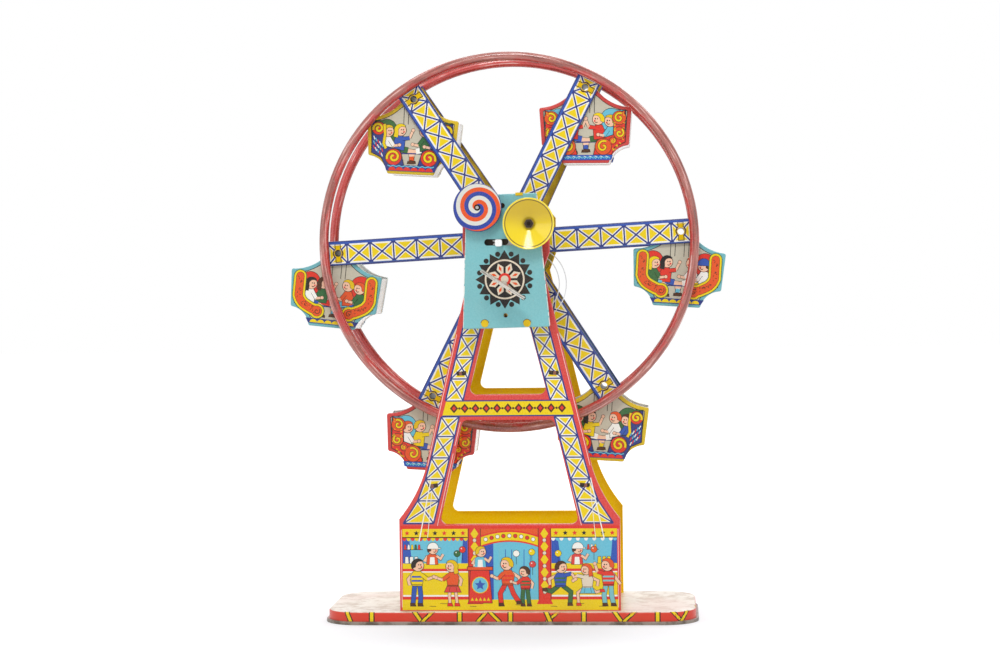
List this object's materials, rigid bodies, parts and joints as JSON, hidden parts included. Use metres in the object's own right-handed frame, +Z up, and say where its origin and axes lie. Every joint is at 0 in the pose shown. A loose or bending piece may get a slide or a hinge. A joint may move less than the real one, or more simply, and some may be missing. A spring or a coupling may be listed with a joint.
{
  "type": "clockwork tinplate ferris wheel toy",
  "caption": "Tinplate tabletop Ferris wheel toy: gondolas hang in a two-ringed wheel between two towers on a tray, turned by a key-wound clockwork with a bell.",
  "frame": {"origin": "under the middle of the whole toy, on the surface that it stands on; the wheel's middle plane is 19.3 mm behind it, because the key stands out in front", "axes": "+X to the right seen from the front, +Y from the key's side to the back along the wheel's axle, +Z up"},
  "size_m": [0.3281, 0.1556, 0.425],
  "materials": {
    "tray_enamel": "gloss",
    "tower_enamel": "gloss",
    "cover_enamel": "gloss",
    "bell_enamel": "gloss",
    "disc_enamel": "gloss",
    "hub_enamel": "satin",
    "spoke_enamel": "gloss",
    "ring_enamel": "worn gloss",
    "gondola_blue": "gloss",
    "gondola_red": "gloss",
    "gondola_yellow": "gloss",
    "pivot_tin": "dull",
    "bare_tin": "dull",
    "steel": "satin",
    "dark_steel": "satin",
    "spring_steel": "satin",
    "key_nickel": "worn polish",
    "brass": "satin"
  },
  "bodies": {
    "stand": {"base_tray": "tray_enamel", "front_tower": "tower_enamel", "rear_tower": "tower_enamel", "leg_stiffeners": "bare_tin", "front_bush": "brass", "rear_bush": "brass", "motor_cover": "cover_enamel", "cover_posts": "tower_enamel", "bridge_plate": "steel", "bridge_pillars": "steel", "mainspring": "spring_steel", "bell_dish": "bell_enamel", "bell_stud": "steel", "bell_nut": "dark_steel", "hammer_rivet": "steel"},
    "winding_shaft": {"winding_arbor": "steel", "winding_key": "key_nickel", "ratchet_wheel": "steel"},
    "great_wheel_set": {"great_wheel": "brass", "click": "steel", "click_rivet": "steel", "click_spring": "spring_steel"},
    "spiral_disc_set": {"disc_arbor": "steel", "disc_pinion": "steel", "trip_star": "steel", "spiral_disc": "disc_enamel", "disc_rivet": "steel"},
    "hammer": {"bell_hammer": "steel"},
    "big_wheel": {"wheel_axle": "steel", "axle_pinion": "steel", "axle_gear": "brass", "front_hub": "hub_enamel", "rear_hub": "hub_enamel", "axle_sleeve": "bare_tin", "front_spokes": "spoke_enamel", "rear_spokes": "spoke_enamel", "front_ring": "ring_enamel", "rear_ring": "ring_enamel", "pivot_tubes": "pivot_tin", "axle_cap": "steel"},
    "gondola_1": {"gondola_1_front_panel": "gondola_blue", "gondola_1_rear_panel": "gondola_blue", "gondola_1_tub": "bare_tin"},
    "gondola_2": {"gondola_2_front_panel": "gondola_red", "gondola_2_rear_panel": "gondola_red", "gondola_2_tub": "bare_tin"},
    "gondola_3": {"gondola_3_front_panel": "gondola_yellow", "gondola_3_rear_panel": "gondola_yellow", "gondola_3_tub": "bare_tin"},
    "gondola_4": {"gondola_4_front_panel": "gondola_blue", "gondola_4_rear_panel": "gondola_blue", "gondola_4_tub": "bare_tin"},
    "gondola_5": {"gondola_5_front_panel": "gondola_red", "gondola_5_rear_panel": "gondola_red", "gondola_5_tub": "bare_tin"},
    "gondola_6": {"gondola_6_front_panel": "gondola_yellow", "gondola_6_rear_panel": "gondola_yellow", "gondola_6_tub": "bare_tin"}
  },
  "joints": [
    {"name": "wheel_turn", "type": "hinge", "parent": "stand", "child": "big_wheel", "pos_m": [0, 0.0193, 0.2826], "axis": [0, 1, 0], "continuous": true},
    {"name": "great_wheel_turn", "type": "hinge", "parent": "stand", "child": "great_wheel_set", "pos_m": [0, -0.0411, 0.2514], "axis": [0, 1, 0], "continuous": true},
    {"name": "spiral_disc_turn", "type": "hinge", "parent": "stand", "child": "spiral_disc_set", "pos_m": [-0.01891, -0.0567, 0.30742], "axis": [0, 1, 0], "continuous": true},
    {"name": "key_turn", "type": "hinge", "parent": "stand", "child": "winding_shaft", "pos_m": [0, -0.0607, 0.2514], "axis": [0, 1, 0], "continuous": true},
    {"name": "hammer_swing", "type": "hinge", "parent": "stand", "child": "hammer", "pos_m": [-0.0011, -0.0474, 0.3089], "axis": [0, 1, 0], "range_deg": [-10.6, 9.5]},
    {"name": "gondola_1_hang", "type": "hinge", "parent": "big_wheel", "child": "gondola_1", "pos_m": [0.12882, 0.0193, 0.28935], "axis": [0, 1, 0], "continuous": true},
    {"name": "gondola_2_hang", "type": "hinge", "parent": "big_wheel", "child": "gondola_2", "pos_m": [0.05856, 0.0193, 0.39754], "axis": [0, 1, 0], "continuous": true},
    {"name": "gondola_3_hang", "type": "hinge", "parent": "big_wheel", "child": "gondola_3", "pos_m": [-0.07026, 0.0193, 0.39079], "axis": [0, 1, 0], "continuous": true},
    {"name": "gondola_4_hang", "type": "hinge", "parent": "big_wheel", "child": "gondola_4", "pos_m": [-0.12882, 0.0193, 0.27585], "axis": [0, 1, 0], "continuous": true},
    {"name": "gondola_5_hang", "type": "hinge", "parent": "big_wheel", "child": "gondola_5", "pos_m": [-0.05856, 0.0193, 0.16766], "axis": [0, 1, 0], "continuous": true},
    {"name": "gondola_6_hang", "type": "hinge", "parent": "big_wheel", "child": "gondola_6", "pos_m": [0.07026, 0.0193, 0.17441], "axis": [0, 1, 0], "continuous": true}
  ],
  "couplings": [
    {"joint": "great_wheel_turn", "follows": "wheel_turn", "ratio": -0.36842},
    {"joint": "spiral_disc_turn", "follows": "wheel_turn", "ratio": -5.5},
    {"joint": "gondola_1_hang", "follows": "wheel_turn", "ratio": -1},
    {"joint": "gondola_2_hang", "follows": "wheel_turn", "ratio": -1},
    {"joint": "gondola_3_hang", "follows": "wheel_turn", "ratio": -1},
    {"joint": "gondola_4_hang", "follows": "wheel_turn", "ratio": -1},
    {"joint": "gondola_5_hang", "follows": "wheel_turn", "ratio": -1},
    {"joint": "gondola_6_hang", "follows": "wheel_turn", "ratio": -1}
  ]
}
